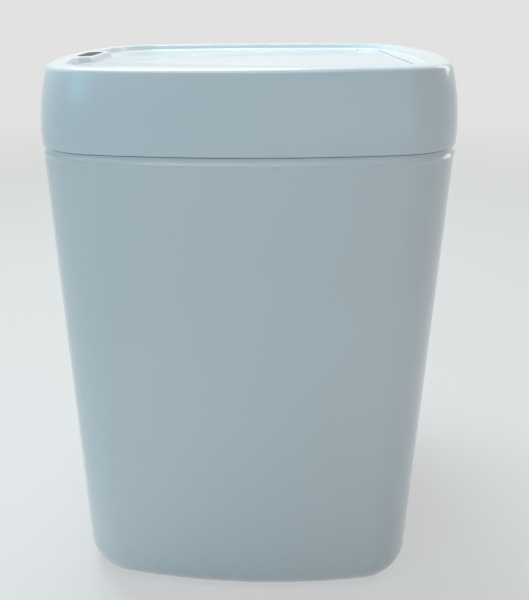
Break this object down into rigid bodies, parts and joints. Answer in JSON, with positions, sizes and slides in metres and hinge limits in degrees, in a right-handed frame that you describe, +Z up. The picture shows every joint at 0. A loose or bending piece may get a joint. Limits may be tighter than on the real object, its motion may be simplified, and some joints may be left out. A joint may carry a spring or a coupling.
{
  "type": "sensor bin",
  "caption": "Tapered rounded-square waste bin with a lift-off head, motor-driven lid flap, infrared window, bag ring and battery bay.",
  "frame": {"origin": "centre of the footprint on the floor, under the feet", "axes": "+Z up; -X is the front with the sensor window, the flap's hinge line runs along Y near the +X end"},
  "size_m": [0.2602, 0.2678, 0.3452],
  "materials": {
    "white_body": "satin gloss, moulded",
    "white_shell": "satin gloss, moulded",
    "inner_grey": "fine matt moulding",
    "black_window": "polished, dark",
    "rubber_grey": "matt",
    "nylon_white": "satin nylon",
    "steel": "bright zinc plated",
    "brass": "machined",
    "board_green": "solder resist",
    "cell_jacket": "plain jacket",
    "lens_clear": "clear resin",
    "wire_black": "sleeved"
  },
  "bodies": {
    "bin": {"bin_body": "white_body", "foot_1": "rubber_grey", "foot_2": "rubber_grey", "foot_3": "rubber_grey", "foot_4": "rubber_grey"},
    "bag_ring": {"bag_ring": "inner_grey"},
    "flap": {"flap_outer": "white_shell", "flap_inner": "inner_grey", "flap_buffer_left": "rubber_grey", "flap_buffer_right": "rubber_grey", "sector_gear": "nylon_white", "flap_screw_1": "steel", "flap_screw_2": "steel", "flap_screw_3": "steel", "flap_screw_4": "steel"},
    "output_shaft": {"output_gear": "nylon_white"},
    "idler": {"idler_gear": "nylon_white"},
    "motor_spindle": {"motor_pinion": "brass", "motor_shaft": "steel"},
    "battery_door": {"battery_door": "inner_grey"},
    "power_switch": {"power_switch_knob": "black_window"},
    "head": {"head_shell": "white_shell", "head_liner": "inner_grey", "head_screw_1": "steel", "head_screw_2": "steel", "head_screw_3": "steel", "head_screw_4": "steel", "head_screw_5": "steel", "head_screw_6": "steel", "hinge_rod": "steel", "idler_pin": "steel", "drive_motor": "steel", "gearbox_case": "inner_grey", "gearbox_cover": "inner_grey", "cover_screw_1": "steel", "cover_screw_2": "steel", "cover_screw_3": "steel", "battery_holder": "inner_grey", "battery_cell_1": "cell_jacket", "battery_cell_2": "cell_jacket", "battery_cell_3": "cell_jacket", "contact_plate_front": "steel", "contact_plate_rear": "steel", "contact_spring_1": "steel", "contact_spring_2": "steel", "contact_spring_3": "steel", "door_pin": "steel", "control_board": "board_green", "board_screw_1": "steel", "board_screw_2": "steel", "sensor_window": "black_window", "sensor_board": "board_green", "ir_emitter": "lens_clear", "ir_receiver": "lens_clear", "indicator_led": "lens_clear", "switch_body": "steel", "sensor_lead": "wire_black", "motor_lead": "wire_black"}
  },
  "joints": [
    {"name": "head_lift", "type": "slide", "parent": "bin", "child": "head", "axis": [0, 0, 1], "range_m": [0, 0.12]},
    {"name": "ring_lift", "type": "slide", "parent": "bin", "child": "bag_ring", "axis": [0, 0, 1], "range_m": [0, 0.06]},
    {"name": "flap_hinge", "type": "hinge", "parent": "head", "child": "flap", "pos_m": [0.0955, 0, 0.3364], "axis": [0, 1, 0], "range_deg": [0, 85]},
    {"name": "output_turn", "type": "hinge", "parent": "head", "child": "output_shaft", "pos_m": [0.09704, 0.0031, 0.31433], "axis": [0, 1, 0], "range_deg": [-228.2, 1.5]},
    {"name": "idler_turn", "type": "hinge", "parent": "head", "child": "idler", "pos_m": [0.08312, 0.015, 0.31433], "axis": [0, 1, 0], "range_deg": [-1.5, 643.7]},
    {"name": "motor_turn", "type": "hinge", "parent": "head", "child": "motor_spindle", "pos_m": [0.0725, 0.02, 0.31433], "axis": [0, 1, 0], "range_deg": [-2056.6, 1.5]},
    {"name": "battery_door_hinge", "type": "hinge", "parent": "head", "child": "battery_door", "pos_m": [0.0886, -0.0625, 0.2979], "axis": [-1, 0, 0], "range_deg": [0, 90]},
    {"name": "power_switch_slide", "type": "slide", "parent": "head", "child": "power_switch", "axis": [1, 0, 0], "range_m": [0, 0.003]}
  ],
  "couplings": [
    {"joint": "ring_lift", "follows": "head_lift", "ratio": 0.5},
    {"joint": "output_turn", "follows": "flap_hinge", "ratio": -2.6667},
    {"joint": "idler_turn", "follows": "flap_hinge", "ratio": 7.5556},
    {"joint": "motor_turn", "follows": "flap_hinge", "ratio": -24.178}
  ]
}
